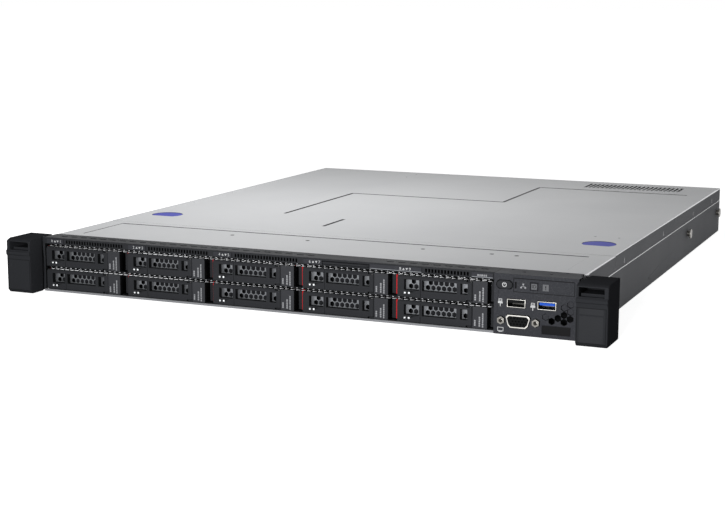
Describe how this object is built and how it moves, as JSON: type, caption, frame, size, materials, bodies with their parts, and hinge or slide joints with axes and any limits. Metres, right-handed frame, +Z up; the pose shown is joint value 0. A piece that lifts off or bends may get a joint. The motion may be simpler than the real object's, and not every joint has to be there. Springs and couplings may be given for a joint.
{
  "type": "1u rack server",
  "caption": "Low rack server with hot-swap drive carriers, sliding lid, operator panel and latching ears for a 19-inch rack.",
  "frame": {"origin": "middle of the width, underside of the chassis, in the plane of the rack posts (back faces of the ears)", "axes": "+Z up, +Y to the rear, +X to the right seen from the front"},
  "size_m": [0.4826, 0.5577, 0.043],
  "materials": {
    "air_baffle": "black moulded plastic",
    "chassis": "galvanised steel, satin grey",
    "cover_steel": "light grey satin steel",
    "drive_backplane": "circuit board",
    "drive_cage": "zinc-plated steel",
    "drive_carrier": "black carrier with a metal drive and screen",
    "drive_handle": "black moulded plastic",
    "ear_latch": "black moulded plastic",
    "expansion_riser": "zinc-plated steel",
    "fan_frames": "black moulded plastic",
    "fan_rotor": "black moulded plastic",
    "fasteners": "plated steel",
    "front_bezel": "black moulded plastic",
    "front_io_board": "circuit board",
    "front_ports": "plated connector shells",
    "heat_sink": "bare aluminium",
    "id_button": "dark grey plastic",
    "info_tab": "black moulded plastic",
    "io_panel": "dark grey textured plastic",
    "memory_modules": "circuit boards with black chips",
    "power_button": "dark grey plastic",
    "power_supply": "zinc-plated steel",
    "rack_ear": "black moulded plastic on a black steel bracket",
    "rear_ports": "plated connector shells",
    "release_latch": "red plastic",
    "system_board": "circuit board",
    "touch_points": "blue plastic"
  },
  "bodies": {
    "server": {"air_baffle": "air_baffle", "chassis": "chassis", "drive_backplane": "drive_backplane", "drive_cage": "drive_cage", "expansion_riser": "expansion_riser", "fan_frames": "fan_frames", "fasteners": "fasteners", "front_bezel": "front_bezel", "front_cover_plate": "cover_steel", "front_io_board": "front_io_board", "front_ports": "front_ports", "heat_sink": "heat_sink", "io_panel": "io_panel", "memory_modules": "memory_modules", "power_supply": "power_supply", "rack_ear_left": "rack_ear", "rack_ear_right": "rack_ear", "rear_ports": "rear_ports", "system_board": "system_board"},
    "carrier_0": {"drive_carrier_0": "drive_carrier"},
    "handle_0": {"drive_handle_0": "drive_handle"},
    "catch_0": {"release_latch_0": "release_latch"},
    "carrier_1": {"drive_carrier_1": "drive_carrier"},
    "handle_1": {"drive_handle_1": "drive_handle"},
    "catch_1": {"release_latch_1": "release_latch"},
    "carrier_2": {"drive_carrier_2": "drive_carrier"},
    "handle_2": {"drive_handle_2": "drive_handle"},
    "catch_2": {"release_latch_2": "release_latch"},
    "carrier_3": {"drive_carrier_3": "drive_carrier"},
    "handle_3": {"drive_handle_3": "drive_handle"},
    "catch_3": {"release_latch_3": "release_latch"},
    "carrier_4": {"drive_carrier_4": "drive_carrier"},
    "handle_4": {"drive_handle_4": "drive_handle"},
    "catch_4": {"release_latch_4": "release_latch"},
    "carrier_5": {"drive_carrier_5": "drive_carrier"},
    "handle_5": {"drive_handle_5": "drive_handle"},
    "catch_5": {"release_latch_5": "release_latch"},
    "carrier_6": {"drive_carrier_6": "drive_carrier"},
    "handle_6": {"drive_handle_6": "drive_handle"},
    "catch_6": {"release_latch_6": "release_latch"},
    "carrier_7": {"drive_carrier_7": "drive_carrier"},
    "handle_7": {"drive_handle_7": "drive_handle"},
    "catch_7": {"release_latch_7": "release_latch"},
    "carrier_8": {"drive_carrier_8": "drive_carrier"},
    "handle_8": {"drive_handle_8": "drive_handle"},
    "catch_8": {"release_latch_8": "release_latch"},
    "carrier_9": {"drive_carrier_9": "drive_carrier"},
    "handle_9": {"drive_handle_9": "drive_handle"},
    "catch_9": {"release_latch_9": "release_latch"},
    "cover": {"top_cover": "cover_steel", "touch_points": "touch_points"},
    "information_tab": {"info_tab": "info_tab"},
    "power_key": {"power_button": "power_button"},
    "id_key": {"id_button": "id_button"},
    "ear_trigger_left": {"ear_latch_left": "ear_latch"},
    "ear_trigger_right": {"ear_latch_right": "ear_latch"},
    "fan_1": {"fan_rotor_1": "fan_rotor"},
    "fan_2": {"fan_rotor_2": "fan_rotor"},
    "fan_3": {"fan_rotor_3": "fan_rotor"},
    "supply_fan": {"supply_rotor": "fan_rotor"}
  },
  "joints": [
    {"name": "carrier_slide_0", "type": "slide", "parent": "server", "child": "carrier_0", "axis": [0, -1, 0], "range_m": [0, 0.115]},
    {"name": "handle_swing_0", "type": "hinge", "parent": "carrier_0", "child": "handle_0", "pos_m": [-0.1611, -0.0152, 0.02785], "axis": [0, 0, 1], "range_deg": [0, 60]},
    {"name": "latch_slide_0", "type": "slide", "parent": "carrier_0", "child": "catch_0", "axis": [-1, 0, 0], "range_m": [0, 0.001], "stiffness_N_per_m": 400},
    {"name": "carrier_slide_1", "type": "slide", "parent": "server", "child": "carrier_1", "axis": [0, -1, 0], "range_m": [0, 0.115]},
    {"name": "handle_swing_1", "type": "hinge", "parent": "carrier_1", "child": "handle_1", "pos_m": [-0.1611, -0.0152, 0.00965], "axis": [0, 0, 1], "range_deg": [0, 60]},
    {"name": "latch_slide_1", "type": "slide", "parent": "carrier_1", "child": "catch_1", "axis": [-1, 0, 0], "range_m": [0, 0.001], "stiffness_N_per_m": 400},
    {"name": "carrier_slide_2", "type": "slide", "parent": "server", "child": "carrier_2", "axis": [0, -1, 0], "range_m": [0, 0.115]},
    {"name": "handle_swing_2", "type": "hinge", "parent": "carrier_2", "child": "handle_2", "pos_m": [-0.0862, -0.0152, 0.02785], "axis": [0, 0, 1], "range_deg": [0, 60]},
    {"name": "latch_slide_2", "type": "slide", "parent": "carrier_2", "child": "catch_2", "axis": [-1, 0, 0], "range_m": [0, 0.001], "stiffness_N_per_m": 400},
    {"name": "carrier_slide_3", "type": "slide", "parent": "server", "child": "carrier_3", "axis": [0, -1, 0], "range_m": [0, 0.115]},
    {"name": "handle_swing_3", "type": "hinge", "parent": "carrier_3", "child": "handle_3", "pos_m": [-0.0862, -0.0152, 0.00965], "axis": [0, 0, 1], "range_deg": [0, 60]},
    {"name": "latch_slide_3", "type": "slide", "parent": "carrier_3", "child": "catch_3", "axis": [-1, 0, 0], "range_m": [0, 0.001], "stiffness_N_per_m": 400},
    {"name": "carrier_slide_4", "type": "slide", "parent": "server", "child": "carrier_4", "axis": [0, -1, 0], "range_m": [0, 0.115]},
    {"name": "handle_swing_4", "type": "hinge", "parent": "carrier_4", "child": "handle_4", "pos_m": [-0.0113, -0.0152, 0.02785], "axis": [0, 0, 1], "range_deg": [0, 60]},
    {"name": "latch_slide_4", "type": "slide", "parent": "carrier_4", "child": "catch_4", "axis": [-1, 0, 0], "range_m": [0, 0.001], "stiffness_N_per_m": 400},
    {"name": "carrier_slide_5", "type": "slide", "parent": "server", "child": "carrier_5", "axis": [0, -1, 0], "range_m": [0, 0.115]},
    {"name": "handle_swing_5", "type": "hinge", "parent": "carrier_5", "child": "handle_5", "pos_m": [-0.0113, -0.0152, 0.00965], "axis": [0, 0, 1], "range_deg": [0, 60]},
    {"name": "latch_slide_5", "type": "slide", "parent": "carrier_5", "child": "catch_5", "axis": [-1, 0, 0], "range_m": [0, 0.001], "stiffness_N_per_m": 400},
    {"name": "carrier_slide_6", "type": "slide", "parent": "server", "child": "carrier_6", "axis": [0, -1, 0], "range_m": [0, 0.115]},
    {"name": "handle_swing_6", "type": "hinge", "parent": "carrier_6", "child": "handle_6", "pos_m": [0.0636, -0.0152, 0.02785], "axis": [0, 0, 1], "range_deg": [0, 60]},
    {"name": "latch_slide_6", "type": "slide", "parent": "carrier_6", "child": "catch_6", "axis": [-1, 0, 0], "range_m": [0, 0.001], "stiffness_N_per_m": 400},
    {"name": "carrier_slide_7", "type": "slide", "parent": "server", "child": "carrier_7", "axis": [0, -1, 0], "range_m": [0, 0.115]},
    {"name": "handle_swing_7", "type": "hinge", "parent": "carrier_7", "child": "handle_7", "pos_m": [0.0636, -0.0152, 0.00965], "axis": [0, 0, 1], "range_deg": [0, 60]},
    {"name": "latch_slide_7", "type": "slide", "parent": "carrier_7", "child": "catch_7", "axis": [-1, 0, 0], "range_m": [0, 0.001], "stiffness_N_per_m": 400},
    {"name": "carrier_slide_8", "type": "slide", "parent": "server", "child": "carrier_8", "axis": [0, -1, 0], "range_m": [0, 0.115]},
    {"name": "handle_swing_8", "type": "hinge", "parent": "carrier_8", "child": "handle_8", "pos_m": [0.1385, -0.0152, 0.02785], "axis": [0, 0, 1], "range_deg": [0, 60]},
    {"name": "latch_slide_8", "type": "slide", "parent": "carrier_8", "child": "catch_8", "axis": [-1, 0, 0], "range_m": [0, 0.001], "stiffness_N_per_m": 400},
    {"name": "carrier_slide_9", "type": "slide", "parent": "server", "child": "carrier_9", "axis": [0, -1, 0], "range_m": [0, 0.115]},
    {"name": "handle_swing_9", "type": "hinge", "parent": "carrier_9", "child": "handle_9", "pos_m": [0.1385, -0.0152, 0.00965], "axis": [0, 0, 1], "range_deg": [0, 60]},
    {"name": "latch_slide_9", "type": "slide", "parent": "carrier_9", "child": "catch_9", "axis": [-1, 0, 0], "range_m": [0, 0.001], "stiffness_N_per_m": 400},
    {"name": "cover_slide", "type": "slide", "parent": "server", "child": "cover", "axis": [0, 1, 0], "range_m": [0, 0.012]},
    {"name": "tab_slide", "type": "slide", "parent": "server", "child": "information_tab", "axis": [0, -1, 0], "range_m": [0, 0.042]},
    {"name": "power_press", "type": "slide", "parent": "server", "child": "power_key", "axis": [0, 1, 0], "range_m": [0, 0.0008], "stiffness_N_per_m": 600},
    {"name": "id_press", "type": "slide", "parent": "server", "child": "id_key", "axis": [0, 1, 0], "range_m": [0, 0.0008], "stiffness_N_per_m": 600},
    {"name": "ear_latch_left_press", "type": "slide", "parent": "server", "child": "ear_trigger_left", "axis": [0, 0, -1], "range_m": [0, 0.003], "stiffness_N_per_m": 600, "springref_m": -0.002},
    {"name": "ear_latch_right_press", "type": "slide", "parent": "server", "child": "ear_trigger_right", "axis": [0, 0, -1], "range_m": [0, 0.003], "stiffness_N_per_m": 600, "springref_m": -0.002},
    {"name": "fan_spin_1", "type": "hinge", "parent": "server", "child": "fan_1", "pos_m": [-0.15, 0.126, 0.0216], "axis": [0, 1, 0], "continuous": true},
    {"name": "fan_spin_2", "type": "hinge", "parent": "server", "child": "fan_2", "pos_m": [-0.06, 0.126, 0.0216], "axis": [0, 1, 0], "continuous": true},
    {"name": "fan_spin_3", "type": "hinge", "parent": "server", "child": "fan_3", "pos_m": [0.03, 0.126, 0.0216], "axis": [0, 1, 0], "continuous": true},
    {"name": "supply_fan_spin", "type": "hinge", "parent": "server", "child": "supply_fan", "pos_m": [0.136, 0.5, 0.021], "axis": [0, 1, 0], "continuous": true}
  ]
}
